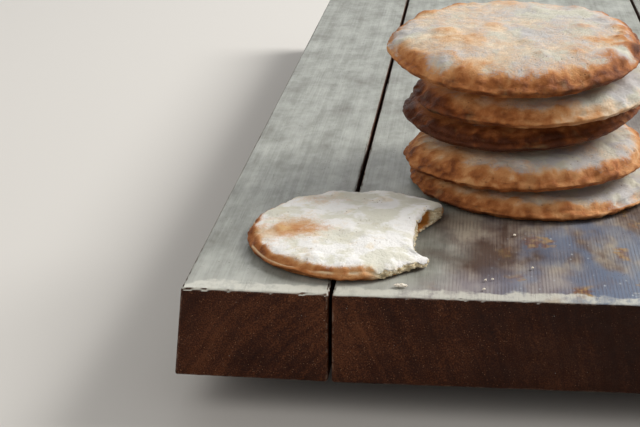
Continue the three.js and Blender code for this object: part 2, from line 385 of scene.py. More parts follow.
ARRIS = 0.8 * MM
JOINT_SWELL = 0.3 * MM     # how far old planks have swollen into the joints between them
FRONT_ZONE = 12 * MM       # stretch behind the front end with the finest mesh
MIDDLE_ZONE = 170 * MM     # stretch that the crackers stand on
STEP_ACROSS = 1.05 * MM    # mesh spacing across a plank
STEP_UP = 1.5 * MM         # up its sides
STEP_FRONT = 0.9 * MM      # and along it, in the front zone,
STEP_MIDDLE = 2.6 * MM     # in the middle zone
STEP_BACK = 7 * MM         # and behind it
X, Y, Z = range(3)


def cut_across(piece, y):
    start_edit(piece, VERTEX_MODE)
    bpy.ops.mesh.select_all(action="SELECT")
    bpy.ops.mesh.bisect(plane_co=(0, y, 0), plane_no=(0, 1, 0))
    end_edit()


def divide_along(piece, axis, spacing, low=-math.inf, high=math.inf):
    """Cuts the long edges along an axis, whose middles lie between low and high, into equal parts."""
    mesh = piece.data

    def ends(edge):
        return [mesh.vertices[i].co for i in edge.vertices]

    def along(edge):
        first, second = ends(edge)
        run = second - first
        middle = (first[axis] + second[axis]) / 2
        return run.length > 2 * ARRIS and abs(run[axis]) > NEARLY * run.length and low < middle < high

    length = max(abs(ends(edge)[0][axis] - ends(edge)[1][axis]) for edge in mesh.edges if along(edge))
    cuts = max(1, round(length / spacing) - 1)
    pick(piece, EDGE_MODE, along)
    bpy.ops.mesh.subdivide(number_cuts=cuts)
    end_edit()


def straight_plank(name):
    """A block with worn arrises that fills the plank's box, cut into a mesh fine enough to carve."""
    low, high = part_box(name)
    clear_selection()
    bpy.ops.mesh.primitive_cube_add(size=1, location=(low + high) / 2, scale=high - low)
    plank = bpy.context.object
    plank.name = name + "_wood"
    bake_place(plank)
    start_edit(plank, EDGE_MODE)
    bpy.ops.mesh.select_all(action="SELECT")
    bpy.ops.mesh.bevel(offset=ARRIS, segments=3, affect="EDGES")
    end_edit()
    cut_across(plank, low.y + FRONT_ZONE)
    cut_across(plank, low.y + MIDDLE_ZONE)
    divide_along(plank, X, STEP_ACROSS)
    divide_along(plank, Z, STEP_UP)
    divide_along(plank, Y, STEP_FRONT, high=low.y + FRONT_ZONE)
    divide_along(plank, Y, STEP_MIDDLE, low.y + FRONT_ZONE, low.y + MIDDLE_ZONE)
    divide_along(plank, Y, STEP_BACK, low=low.y + MIDDLE_ZONE)
    return plank


def fit_to_cad(plank, name):
    """Skews the block's ends and leans its sides to where the CAD plank has them; returns its front."""
    tree = cad_surface(name)
    low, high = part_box(name)
    far = 1.0
    inset = 5 * MM
    middle_y = (low.y + high.y) / 2
    heights = (low.z + inset, high.z - inset)

    def side_line(direction):
        x = [hit(tree, (-direction * far, middle_y, z), (direction, 0, 0)).x for z in heights]
        slope = (x[1] - x[0]) / (heights[1] - heights[0])
        return lambda z: x[0] + slope * (z - heights[0])

    def end_line(direction):
        spots = (low.x + 2 * inset, high.x - 2 * inset)
        middle_z = (low.z + high.z) / 2
        y = [hit(tree, (x, -direction * far, middle_z), (0, direction, 0)).y for x in spots]
        slope = (y[1] - y[0]) / (spots[1] - spots[0])
        return lambda x: y[0] + slope * (x - spots[0])

    left, right, front, back = side_line(1), side_line(-1), end_line(1), end_line(-1)
    swell_left = JOINT_SWELL if low.x > cad_bounds[0].x + inset else 0
    swell_right = JOINT_SWELL if high.x < cad_bounds[1].x - inset else 0
    points = points_of(plank)
    across = (points[:, X] - low.x) / (high.x - low.x)
    along = (points[:, Y] - low.y) / (high.y - low.y)
    x_left = left(points[:, Z]) - swell_left
    x_right = right(points[:, Z]) + swell_right
    x = x_left + across * (x_right - x_left)
    y = front(x) + along * (back(x) - front(x))
    set_points(plank, np.column_stack([x, y, points[:, Z]]))
    return front


CHIP_SIZE = 2.2 * MM
WAVE_SIZE = 24 * MM
SOFTENING = 0.12 * MM      # how far the arrises are worn back everywhere
RAGGEDNESS = 0.15 * MM     # how much more or less in places
CHIP_DEPTH = 0.75 * MM
WAVE_DEPTH = 0.06 * MM     # how much the faces undulate


def wear(plank, front, seed):
    """Chips and softens the arrises and lets the faces undulate a little."""
    points = points_of(plank)
    normals = normals_of(plank)
    slant = 1 - np.max(np.abs(normals), axis=1)
    edge = rise(slant, 0.02, 0.25)
    fine = lumps(points, CHIP_SIZE, 3, seed)
    coarse = lumps(points, WAVE_SIZE, 1, seed + 5)
    chips = rise(fine + 0.8 * coarse, 0.15, 0.9)
    depth = edge * (SOFTENING + RAGGEDNESS * fine + CHIP_DEPTH * chips)
    faces = (1 - edge) * WAVE_DEPTH * coarse
    inward = np.minimum(0, faces) - np.maximum(0, depth)
    set_points(plank, points + normals * inward[:, None])
    set_attribute(plank, "edge", edge)
    set_attribute(plank, "front", (points[:, Y] - front(points[:, X])) / MM)


# Colours from dark to light: the noise's value, then the colour.
BARE_WOOD = ((0.38, (0.011, 0.0024, 0.0008)), (0.52, (0.037, 0.0092, 0.0028)), (0.64, (0.105, 0.034, 0.012)))
# The top's grey is weathered grey with the window's sheen painted in; its brown is the wood's own colour
# with stains, where that sheen is left off, and painted shade from the cracker stack.
GREY_WOOD_AND_SHEEN = ((0.36, (0.122, 0.116, 0.094)), (0.48, (0.222, 0.229, 0.200)), (0.62, (0.36, 0.37, 0.335)))
BROWN_STAIN = ((0.41, (0.078, 0.050, 0.038)), (0.48, (0.175, 0.136, 0.112)), (0.56, (0.33, 0.285, 0.225)))
FLECK = (0.34, 0.18, 0.10)
# Painted shade for the ends, where the light falls off towards the right.
FALLOFF_SHADE = (0.016, 0.0045, 0.0018)
PORE = (0.016, 0.006, 0.003)
CHALK = (0.72, 0.68, 0.62)
LAVENDER_STAIN = (0.255, 0.245, 0.295)
BLUE_STAIN = (0.115, 0.165, 0.255)
DARK_RUST = (0.17, 0.065, 0.022)
LIGHT_RUST = (0.37, 0.22, 0.06)
SALT = (0.52, 0.58, 0.62)
SAW_MARK = (0.07, 0.045, 0.045)
DIRT = (0.07, 0.05, 0.04)
BLEACHED = (0.50, 0.50, 0.455)
LIME_LEFT = (0.55, 0.54, 0.475)
LIME_RIGHT = (0.48, 0.55, 0.565)
RUBBED = (0.40, 0.30, 0.23)

SAW_MARK_SPACING = 1.15    # in mm, like every length in the materials
# The brown zone on the top holds stains, and painted shade where the painted sheen is left off.
STAIN_LEFT = -48           # x where the stain starts at the board's front end
STAIN_SLANT = 0.18         # how much further right it starts, per mm behind that end


class Wood:
    """The patterns that a plank's colours and relief are mixed from. Lengths are in mm."""

    def __init__(self, recipe, pith):
        place = recipe.place_mm()
        x, y, z = (recipe.axis(place, a) for a in "XYZ")
        normal = recipe.node("ShaderNodeNewGeometry", output="Normal")
        self.place = place
        self.x = x
        self.behind = y - cad_bounds[0].y / MM
        self.up = recipe.axis(normal, "Z").rise(0.55, 0.85)
        self.endwise = recipe.axis(normal, "Y").math("ABSOLUTE").rise(0.55, 0.85)
        self.flat = recipe.stretched(place, (1, 0.5, 1))

        lengthwise = recipe.stretched(place, (1, 0.04, 1))
        sway = recipe.noise(lengthwise, 0.035, 2) * 9 + recipe.noise(lengthwise, 0.25, 2) * 1.2
        radius = ((x - pith[0]) ** 2 + (z - pith[1]) ** 2).math("SQRT") + sway
        rings = {"W": radius, "Scale": 0.32, "Detail": 3.0, "Roughness": 0.6}
        self.growth = recipe.node("ShaderNodeTexNoise", {"noise_dimensions": "1D"}, rings)
        self.fibres = recipe.noise(recipe.stretched(place, (1, 0.02, 1)), 1.6, 3, 0.6)
        self.pores = recipe.cells(recipe.stretched(place, (1, 0.05, 1)), 1.7).rise(0.24, 0.10)
        self.blotches = recipe.noise(place, 0.045, 3, 0.55)
        self.grit = recipe.noise(place, 2.2, 3, 0.7)
        self.smudges = recipe.noise(recipe.stretched(place, (1, 0.4, 1)), 0.11, 4, 0.65)

        phase = x * (2 * math.pi / SAW_MARK_SPACING) + recipe.noise(lengthwise, 0.2) * 4
        lines = phase.math("SINE") * 0.5 + 0.5
        self.sawn = (lines ** 2) * recipe.patches(place, 0.09, 0.3, 0.65)

        # The brown zone: stains, and painted shade from the cracker stack where the painted sheen of the
        # grey is left off.
        right_of_start = x - STAIN_LEFT - self.behind * STAIN_SLANT
        past_brown_edge = (right_of_start + recipe.wander(place, 0.03, 44, 3)).rise(-3, 15)
        self.stain_and_shade = past_brown_edge * (self.behind + recipe.wander(place, 0.02, 120, 3)).rise(390, 150)


def bare_colour(recipe, wood):
    """The ends, sides and underside: red-brown, with light flecks, and painted shade that darkens the ends
    towards the right.
    """
    place = wood.place
    colour = recipe.ramp(wood.growth * 0.16 + wood.grit * 0.56 + wood.blotches * 0.33, BARE_WOOD)
    flecks = recipe.cells(place, 1.25).rise(0.22, 0.08) * recipe.patches(place, 0.35, 0.42, 0.6, 3)
    colour = recipe.mix(flecks * wood.endwise * 0.75, colour, FLECK)
    # Painted shade: the ends grow darker towards the right, where the light falls off.
    falloff_shade = (wood.x + recipe.wander(place, 0.06, 50)).rise(-60, 50)
    colour = recipe.mix(falloff_shade * wood.endwise * 0.75, colour, FALLOFF_SHADE)
    colour = recipe.mix(wood.pores * 0.5, colour, PORE)
    chalk = recipe.cells(place, 0.30).rise(0.055, 0.02) * recipe.patches(place, 0.1, 0.5, 0.6)
    return recipe.mix(chalk * 0.7, colour, CHALK)


def worn_colour(recipe, wood):
    """The top: weathered grey with the window's sheen painted in, and the wood's own brown with stains and
    painted shade near the cracker stack, where that sheen is left off.
    """
    grey = wood.fibres * 0.15 + wood.blotches * 0.30 + wood.growth * 0.15 + wood.smudges * 0.4
    brown = recipe.noise(wood.flat, 0.055, 4, 0.6) * 0.62 + wood.smudges * 0.24 + wood.fibres * 0.14
    return recipe.mix(wood.stain_and_shade, recipe.ramp(grey, GREY_WOOD_AND_SHEEN), recipe.ramp(brown, BROWN_STAIN))


def add_wet_stains(recipe, wood, colour):
    """Blue, rust and salt stains at the front right, and a lavender one along the front."""
    place, flat = wood.place, wood.flat
    near_front = (wood.behind + recipe.wander(place, 0.03, 90, 3)).rise(120, 40)
    to_the_right = wood.x - wood.behind * 0.1 + recipe.wander(place, 0.05, 30)
    wet = to_the_right.rise(-30, 14) * near_front
    lavender = (wood.behind + recipe.wander(place, 0.04, 24, 3)).rise(32, 12) * wood.stain_and_shade
    colour = recipe.mix(lavender * 0.5, colour, LAVENDER_STAIN)
    bluing = recipe.patches(flat, 0.06, 0.38, 0.54, 3, 0.55) * wet
    colour = recipe.mix(bluing * 0.78, colour, BLUE_STAIN)
    spots = recipe.cells(flat, 0.085) + recipe.wander(place, 0.35, 0.6, 3, 0.6)
    rust = spots.rise(0.34, 0.16) * recipe.patches(place, 0.05, 0.40, 0.52) * wet.at_least(lavender * 0.5)
    rust_colour = recipe.mix(recipe.patches(place, 0.3, 0.4, 0.6), DARK_RUST, LIGHT_RUST)
    colour = recipe.mix(rust * 0.85, colour, rust_colour)
    salt = recipe.cells(flat, 0.42).rise(0.20, 0.06) * recipe.patches(place, 0.06, 0.42, 0.54) * wet
    return recipe.mix(salt * 0.6, colour, SALT)


def add_top_marks(recipe, wood, colour):
    """Saw marks and dirt on the top, and a bleached zone behind its front end."""
    place = wood.place
    colour = recipe.mix(wood.sawn * (wood.stain_and_shade * 0.34 + 0.04), colour, SAW_MARK)
    dirt = recipe.cells(place, 0.55).rise(0.20, 0.09) * recipe.patches(place, 0.07, 0.48, 0.62)
    colour = recipe.mix(dirt * 0.7, colour, DIRT)
    bleached = (recipe.attribute("front") + recipe.wander(place, 0.05, 60, 4, 0.6)).rise(30, 2)
    return recipe.mix(bleached * (1 - wood.stain_and_shade) * 0.4, colour, BLEACHED)


def add_worn_edges(recipe, wood, colour):
    """The ragged strip of old lime paint along the top's front edge, and pale rubbed arrises."""
    place = wood.place
    right_side = wood.x.rise(10, 90)
    limit = (recipe.noise(place, 0.06, 5, 0.65) - 0.5) * (20 + right_side * 24)
    strip = (recipe.attribute("front") + limit).rise(7.4, 5.4)
    small_gaps = recipe.patches(wood.flat, 0.16, 0.38, 0.52, 5, 0.7)
    large_gaps = recipe.patches(place, 0.09, 0.37, 0.45, 5, 0.7)
    paint = strip * (small_gaps * 0.6 + large_gaps * 0.4) * wood.up
    colour = recipe.mix(paint * 0.86, colour, recipe.mix(right_side, LIME_LEFT, LIME_RIGHT))
    rubbed = recipe.attribute("edge") * recipe.patches(place, 0.5, 0.46, 0.64, 3, 0.7)
    return recipe.mix(rubbed * 0.5, colour, RUBBED)


def plank_material(name, pith):
    """Old dark hardwood: red-brown end grain and sides, a worn grey top with stains, painted sheen and
    painted shade.
    """
    recipe = Recipe(name)
    wood = Wood(recipe, pith)
    top = add_wet_stains(recipe, wood, worn_colour(recipe, wood))
    top = add_top_marks(recipe, wood, top)
    colour = recipe.mix(wood.up, bare_colour(recipe, wood), top)
    colour = add_worn_edges(recipe, wood, colour)

    rough = recipe.patches(wood.place, 0.3, 0.3, 0.7, 3) * 0.16 + wood.up * -0.16 + 0.56
    saw_depth = wood.sawn * (wood.up * (0.1 + wood.stain_and_shade * 0.3))
    height = saw_depth + wood.fibres * 0.25 + wood.pores * -0.6 + wood.grit * (0.5 - wood.up * 0.38)
    return recipe.finish({
        "Base Color": colour, "Roughness": rough, "Specular IOR Level": 0.15,
        "Coat Weight": wood.up * 0.42, "Coat Roughness": 0.45, "Normal": recipe.bump(height, 0.16, 0.8)})


# Each plank's pith, as x and z in mm from the plank's middle, and the seed of its wear.
PLANKS = {"plank_left": ((96, -84), 1.0), "plank_middle": ((-190, -60), 4.0), "plank_right": ((30, 90), 7.0)}
SHARP_ANGLE = 40


def add_planks():
    for name, (pith_offset, seed) in PLANKS.items():
        low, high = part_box(name)
        middle = (low + high) / 2 / MM
        plank = straight_plank(name)
        front = fit_to_cad(plank, name)
        wear(plank, front, seed)
        smooth_shading(plank, SHARP_ANGLE)
        pith = (middle.x + pith_offset[0], middle.z + pith_offset[1])
        plank.data.materials.append(plank_material(name + "_wood", pith))
        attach(plank, "root")
        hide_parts(name)


# ---- Battens and screws --------------------------------------

BATTEN_WOOD = ((0.3, (0.03, 0.016, 0.009)), (0.55, (0.075, 0.042, 0.024)), (0.75, (0.13, 0.08, 0.048)))
STEEL = (0.42, 0.40, 0.37)
SCREW_RUST = (0.17, 0.08, 0.04)


def batten_material():
    recipe = Recipe("batten_wood")
    place = recipe.place_mm()
    lengthwise = recipe.stretched(place, (0.03, 1, 1))
    fibres = recipe.noise(lengthwise, 1.2, 4, 0.6)
    bands = recipe.noise(lengthwise, 0.25, 2)
    colour = recipe.ramp(fibres * 0.6 + bands * 0.4, BATTEN_WOOD)
    return recipe.finish({"Base Color": colour, "Roughness": 0.75, "Normal": recipe.bump(fibres, 0.4, 0.7)})


def screw_material():
    recipe = Recipe("screw_steel")
    place = recipe.place_mm()
    rust = recipe.patches(place, 0.7, 0.5, 0.65, 3, 0.6)
    return recipe.finish({
        "Base Color": recipe.mix(rust, STEEL, SCREW_RUST), "Metallic": 1 - rust * 0.8,
        "Roughness": rust * 0.4 + 0.38, "Normal": recipe.bump(recipe.noise(place, 3.0, 3), 0.05, 0.5)})


def finish_hardware():
    """Gives the CAD's own battens and screws better materials."""
    materials = {"batten": batten_material(), "screw": screw_material()}
    for name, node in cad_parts.items():
        kind = name.split("_")[0]
        if kind in materials:
            for slot in node.material_slots:
                slot.material = materials[kind]


# ---- Crackers ------------------------------------------------

# The two kinds of rim: how far its nose leans in from its widest line up to the top, and by which
# shares of the thickness the top bends down and the underside bends up along it.
ROUND_RIM = {"nose": 2.2 * MM, "fall": 0.34, "lift": 0.22}
FLAT_RIM = {"nose": 1.3 * MM, "fall": 0.24, "lift": 0.05}
NOSE_UNDER = 1.0 * MM      # how far either nose leans in from its widest line down to the underside
WIDEST_LEVEL = -0.4        # height of the widest line, -1 at the underside and 1 at the top
FALL_BAND = 5.5 * MM       # band along the rim in which the top bends down
LIFT_BAND = 3.5 * MM       # band along the rim in which the underside bends up

BROKEN_FROM = (1.6 * MM, 3.0 * MM)   # shortfalls of the rim at which it starts and ends being broken off
BROKEN_FALL = 0.12                   # share of the thickness by which the top bends down at a break
SMALLEST_INSET = 0.4 * MM            # how far inside the rim the skins are measured at least
TEAR_SIZE = 2.1 * MM                 # size of the raggedness along a break,
TEAR_SWING, TEAR_BACK = 0.85 * MM, 0.3 * MM   # how far it swings, and lies back on the whole
BULGE = 1.0 * MM                     # how far the bitten cracker's rim bulges, and at which turn
BULGE_TURN, BULGE_SPREAD = math.radians(242), math.radians(28)

# How each cracker is baked. rim, top: how toasted. left: how much browner the left side is, partly toast
# and partly painted shade on the side away from the light. flour, right: flour all over, and more of it
# to the right, partly flour and partly painted light on the lit side. bare: how much flour has come off
# the edge. pleats: how deep. blisters: how much browner. band, edge: widths in mm of the toasted band and
# of the edge. seed: the noise's seed.
LOOK_KEYS = ("rim", "top", "left", "flour", "right", "bare", "pleats", "blisters", "band", "edge", "seed")
LOOKS = {
    "cracker_stack_1": (0.32, 0.16, 0.14, 0.60, 0.50, 0.62, 0.9, 0.14, 5.0, 2.2, 11),
    "cracker_stack_2": (0.26, 0.20, 0.08, 0.48, 0.16, 0.62, 1.0, 0.12, 5.0, 2.2, 23),
    "cracker_stack_3": (0.36, 0.46, 0.14, 0.16, 0.08, 0.62, 0.6, 0.16, 5.5, 2.2, 37),
    "cracker_stack_4": (0.22, 0.20, 0.44, 0.50, 0.34, 0.62, 0.6, 0.16, 3.6, 2.2, 41),
    "cracker_stack_5": (0.40, 0.19, -0.06, 0.48, 0.12, 0.62, 0.8, 0.12, 6.0, 2.2, 59),
    "cracker_bitten": (0.46, 0.02, 0.04, 0.94, 0.0, 1.0, 0.5, 0.03, 2.6, 1.5, 71),
}

# Places that baked or took flour differently from the rest: centre and half sizes in mm from the
# cracker's centre, then how much browner and how much more floured.
SPOTS = {
    "cracker_stack_1": (
        ((30, -25), (12, 10), -0.12, 0.45), ((38, -10), (8, 10), -0.14, 0.70),
        ((-25, -33), (14, 8), 0.08, -0.20)),
    "cracker_stack_2": (
        ((11, -29), (13, 6), -0.05, 0.38), ((31, -14), (10, 9), -0.05, 0.30),
        ((-30, -24), (12, 9), 0.14, -0.30)),
    "cracker_stack_4": (
        ((22, -31), (15, 7), -0.12, 0.45), ((34, -18), (10, 9), -0.12, 0.50)),
    "cracker_stack_5": (
        ((-28, -33), (6, 5), -0.22, 0.50), ((-20, -14), (9, 6), 0.10, -0.38),
        ((-13, -34), (7, 4), 0.06, -0.25), ((17, 17), (17, 9), -0.10, 0.35),
        ((0, -6), (14, 6), -0.06, 0.22), ((33, -10), (8, 6), 0.18, -0.38),
        ((39, -19), (6, 6), -0.18, 0.40), ((-41, -6), (8, 15), -0.22, 0.65)),
}


def ring_shares(count):
    """Radii of the rings inside an outline of radius 1, closest together near the rim."""
    reach, crowding = 0.985, 1.25
    return [1 - reach * (i / count) ** crowding for i in range(1, count + 1)]


def cracker_blank(segments, top_rings, under_rings, side_rows):
    """A disc of radius 1 and half height 1, ringed on both faces and rowed round its side."""
    clear_selection()
    bpy.ops.mesh.primitive_cylinder_add(vertices=segments, radius=1, depth=2, end_fill_type="NGON")
    blank = bpy.context.object
    for side, rings in ((1, top_rings), (-1, under_rings)):
        pick(blank, FACE_MODE, lambda face: face.normal.z * side > 0.9)
        radius = 1.0
        for share in ring_shares(rings):
            bpy.ops.mesh.inset(thickness=radius - share, depth=0)
            radius = share
        bpy.ops.mesh.poke()
        end_edit()
    mesh = blank.data

    def upright(edge):
        first, second = (mesh.vertices[i].co for i in edge.vertices)
        return abs(first.z - second.z) > 1.5

    pick(blank, EDGE_MODE, upright)
    bpy.ops.mesh.subdivide(number_cuts=side_rows - 1)
    end_edit()
    return blank


class Outline:
    """What the CAD cracker says of its shape: centre, reach in each direction, and skins."""

    FAR = 0.2  # where rays start beside it,
    ABOVE = 30 * MM  # and above or below its centre
    LEVELS = 24  # heights at which its reach is measured
    SHRINKS = (1, 0.985, 0.97, 0.95, 0.92, 0.88)  # how far in a place just outside it is moved

    def __init__(self, name, centre=None):
        self.tree = cad_surface(name, levels=2)
        self.low, self.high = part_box(name)
        self.centre = centre or (self.low + self.high) / 2

    def reach(self, angle):
        """How far the cracker reaches from its centre in a direction."""
        direction = Vector((math.cos(angle), math.sin(angle), 0))
        margin = 0.2 * MM
        best = 0.0
        for z in np.linspace(self.low.z + margin, self.high.z - margin, self.LEVELS):
            start = Vector((self.centre.x, self.centre.y, z)) + direction * self.FAR
            found = hit(self.tree, start, -direction)
            if found is not None:
                best = max(best, self.FAR - (found - start).length)
        return best

    def skin(self, x, y, side):
        """Height of the top (side 1) or underside (side -1) at a place, or just inside the outline."""
        away = Vector((x - self.centre.x, y - self.centre.y, 0))
        for share in self.SHRINKS:
            place = self.centre + away * share
            place.z += side * self.ABOVE
            found = hit(self.tree, place, (0, 0, -side))
            if found is not None:
                return found.z
        raise ValueError("no skin here")


def bend(distance, band):
    """1 at the rim, falling to 0 at the band's width along a quarter circle."""
    inward = np.clip(distance / band, 0, 1)
    return 1 - np.sqrt(1 - (1 - inward) ** 2)


def nose(level, nose_top):
    """How far in from the widest line the rim lies at each level."""
    above = np.clip((level - WIDEST_LEVEL) / (1 - WIDEST_LEVEL), 0, 1)
    below = np.clip((WIDEST_LEVEL - level) / (1 + WIDEST_LEVEL), 0, 1)
    return nose_top * above ** 2.2 + NOSE_UNDER * below ** 2


def bell(offset, spread):
    """1 at offset 0, falling smoothly to 0 beyond the spread."""
    return np.exp(-(offset / spread) ** 2)


def break_rim(turns, reaches):
    """The bitten cracker's reaches with a ragged break, and how broken off each direction is."""
    broken = rise(reaches.max() - reaches, *BROKEN_FROM)
    reaches = reaches + BULGE * bell(turns - BULGE_TURN, BULGE_SPREAD)
    ring = np.column_stack([np.cos(turns), np.sin(turns), np.zeros(len(turns))]) * reaches[:, None]
    ragged = TEAR_SWING * lumps(ring, TEAR_SIZE, 3, 2.5) - TEAR_BACK
    return reaches + broken * ragged, broken


def shape_to_cad(cracker, outline, segments, bitten):
    """Moves the blank's vertices onto the CAD cracker and returns each one's polar place."""
    rim = FLAT_RIM if bitten else ROUND_RIM
    points = points_of(cracker)
    angle = np.arctan2(points[:, Y], points[:, X])
    share = np.minimum(1, np.hypot(points[:, X], points[:, Y]))
    level = np.clip(points[:, Z], -1, 1)
    step = np.round(angle / (2 * math.pi) * segments).astype(int) % segments
    turns = 2 * math.pi * np.arange(segments) / segments
    reaches = np.array([outline.reach(turn) for turn in turns])
    broken = np.zeros(segments)
    if bitten:
        reaches, broken = break_rim(turns, reaches)
    top_tuck = rim["nose"] * (1 - broken)
    under_tuck = NOSE_UNDER * (1 - broken)
    cx, cy = outline.centre.x, outline.centre.y

    def skin_line(radii, side):
        places = zip(cx + radii * np.cos(turns), cy + radii * np.sin(turns))
        return np.array([outline.skin(x, y, side) for x, y in places])

    rim_top = skin_line(reaches - np.maximum(top_tuck, SMALLEST_INSET), 1)
    rim_under = skin_line(reaches - np.maximum(under_tuck, SMALLEST_INSET), -1)
    thickness = rim_top - rim_under
    fall = thickness * (rim["fall"] * (1 - broken) + BROKEN_FALL * broken)
    lift = thickness * rim["lift"] * (1 - broken)

    tuck = np.where(level > 0, top_tuck[step], under_tuck[step])
    flat = np.abs(level) > NEARLY
    noses = nose(level, rim["nose"]) * (1 - broken[step])
    radius = np.where(flat, share * (reaches[step] - tuck), reaches[step] - noses)
    x = cx + radius * np.cos(angle)
    y = cy + radius * np.sin(angle)
    from_rim = np.where(flat, (1 - share) * reaches[step], 0)
    z = np.empty(len(points))
    for i in range(len(points)):
        if flat[i] and share[i] < NEARLY:
            z[i] = outline.skin(x[i], y[i], level[i])
            z[i] -= fall[step[i]] * bend(from_rim[i], FALL_BAND) if level[i] > 0 else 0
            z[i] += lift[step[i]] * bend(from_rim[i], LIFT_BAND) if level[i] < 0 else 0
        else:
            upper = rim_top[step[i]] - fall[step[i]]
            lower = rim_under[step[i]] + lift[step[i]]
            z[i] = (upper + lower) / 2 + level[i] * (upper - lower) / 2
    set_points(cracker, np.column_stack([x, y, z]))
    return {"angle": angle, "level": level, "from_rim": from_rim, "broken": broken[step],
            "side": share > NEARLY, "x": x - cx, "y": y - cy, "radius": float(reaches.max())}


BLISTERS = 60
BLISTER_SIZES = (2.4 * MM, 7 * MM)
BLISTER_HEIGHTS = (0.3 * MM, 1.15 * MM)
RIM_BLISTERS = 0.5         # share of the blisters that lie in a band along the rim

# Sizes of the noises on a cracker's surface.
PLEAT = 4.4 * MM
LUMP = 3.6 * MM
GRAIN = 2.0 * MM
SWELL = 10 * MM
FLAKE = 1.5 * MM


def blister_field(polar, rng):
    """Scattered round swellings, in metres."""
    field = np.zeros(len(polar["x"]))
    for _ in range(BLISTERS):
        near_rim = rng.random() < RIM_BLISTERS
        away = polar["radius"] * (rng.uniform(0.80, 0.95) if near_rim else math.sqrt(rng.random()) * 0.8)
        turn = rng.uniform(0, 2 * math.pi)
        size = rng.uniform(*BLISTER_SIZES) * (0.75 if near_rim else 1)
        height = rng.uniform(*BLISTER_HEIGHTS)
        distance = np.hypot(polar["x"] - away * math.cos(turn), polar["y"] - away * math.sin(turn)) / size
        field = np.maximum(field, height * np.exp(-distance ** 2.6))
    return field


def patch(polar, centre, half_size, sharpness=1.2):
    """1 in the middle of an oval patch, 0 well outside it; places in mm from the cracker's centre."""
    x = (polar["x"] / MM - centre[0]) / half_size[0]
    y = (polar["y"] / MM - centre[1]) / half_size[1]
    return np.exp(-(x ** 2 + y ** 2) ** sharpness)


class Surface:
    """Where a cracker's top, side, rim and break are, and the noises that shape and colour them."""

    def __init__(self, points, polar, look):
        seed = look["seed"]
        level, from_rim, angle = polar["level"], polar["from_rim"], polar["angle"]
        whole = 1 - polar["broken"]
        self.side = polar["side"]
        self.top = rise(level, -0.3, 0.4)
        self.torn = polar["broken"] * self.side
        self.face = bell(from_rim, look["band"] * MM) * (1 - 0.8 * polar["broken"])
        self.edge = bell(from_rim, look["edge"] * MM) * whole
        rim_line = np.column_stack([np.cos(angle), np.sin(angle), 0.05 * level]) * polar["radius"]
        self.pleat = lumps(rim_line, PLEAT, 3, seed)
        self.lump = lumps(points, LUMP, 2, seed + 1)
        self.grain = lumps(points, GRAIN, 1, seed + 3)
        self.swell = lumps(points, SWELL, 2, seed + 9)
        self.flakes = lumps(points * np.array([1, 1, 4.0]), FLAKE, 3, seed + 13)
        self.blisters = blister_field(polar, np.random.default_rng(seed))


def relief(surface, look):
    """How far each vertex moves out: blisters and swellings on top, pleats at the rim, flakes where torn."""
    top, side, torn, edge = surface.top, surface.side, surface.torn, surface.edge
    lump, grain, swell = surface.lump, surface.grain, surface.swell
    out = top * (surface.blisters + (0.30 * swell + 0.10 * grain + 0.16 * lump) * MM) * (1 - 0.5 * torn)
    out += surface.face * top * (0.45 * lump + 0.12 * grain) * MM
    out += edge * surface.pleat * look["pleats"] * 0.7 * MM
    out -= (1 - top) * (0.12 * grain + 0.2 * np.minimum(0, swell)) * MM * (1 - side)
    out += torn * (surface.flakes * 0.8 - 0.2) * MM
    return out


def toasting(surface, polar, look):
    """How brown each vertex is, from 0 to about 1."""
    top, side, face = surface.top, surface.side, surface.face
    heat = look["rim"] * np.exp(-(polar["from_rim"] / (0.8 * look["band"] * MM)) ** 1.5) + look["top"]
    heat += 0.10 * surface.swell + 0.14 * surface.lump * (0.4 + face) + 0.10 * surface.grain
    heat += 0.10 * surface.edge - 0.09 * surface.pleat * face
    heat += look["blisters"] * rise(surface.blisters, 0.35 * MM, 0.95 * MM)
    # Painted shade: the left side, away from the light, is made browner, on top of real toasting.
    heat -= look["left"] * np.cos(polar["angle"]) * (0.4 + 0.6 * face)
    heat += 0.12 * (1 - top) * (1 - side) + 0.10 * rise(-polar["level"], -0.1, 0.6) * side
    return heat


def flouring(surface, polar, look):
    """How thickly each vertex is floured, from 0 to about 1."""
    top, face = surface.top, surface.face
    # Painted light: more flour on the lit right side, on top of real flour.
    dust = look["flour"] + look["right"] * polar["x"] / polar["radius"]
    dust -= look["bare"] * surface.edge * (1 - top * 0.25)
    dust += 0.20 * surface.swell + 0.12 * surface.grain - 0.12 * surface.lump - 0.22 * face
    dust -= 1.5 * look["blisters"] * rise(surface.blisters, 0.35 * MM, 0.9 * MM)
    dust += 0.24 * surface.pleat * face - 0.8 * (1 - top)
    return dust


def dress_cracker(cracker, cracker_name, polar):
    """Raises blisters and pleats, and returns where the cracker is toasted, floured and torn."""
    look = dict(zip(LOOK_KEYS, LOOKS[cracker_name]))
    points = points_of(cracker)
    surface = Surface(points, polar, look)
    heat = toasting(surface, polar, look)
    dust = flouring(surface, polar, look)
    for centre, half_size, browner, whiter in SPOTS.get(cracker_name, ()):
        spot = patch(polar, centre, half_size) * (1 + 0.5 * surface.lump + 0.5 * surface.swell)
        heat += browner * spot
        dust += whiter * spot * surface.top
    set_points(cracker, points + normals_of(cracker) * relief(surface, look)[:, None])
    return heat, dust, surface.torn


# The bitten cracker's own marks: places and half sizes in mm from its centre, as for the spots.
FRONT_TIP = ((23, -20), (8, 7))
BACK_TIP = ((22, 12), (10, 10))
NOTCH = ((19.5, -13), (4, 5.6))
GOLDEN = ((-19, -7), (11, 7.5))
PEACH = ((-25, -8), (13, 17))
TAN = ((-15, 22), (13, 7))

TIP_SINKS = 2.3 * MM       # how far the top comes down at the thin front tip
TIP_LIFTS = 0.7 * MM       # and the underside comes up
BACK_TIP_RISES = 2.1 * MM
NOTCH_DEPTH = 6 * MM

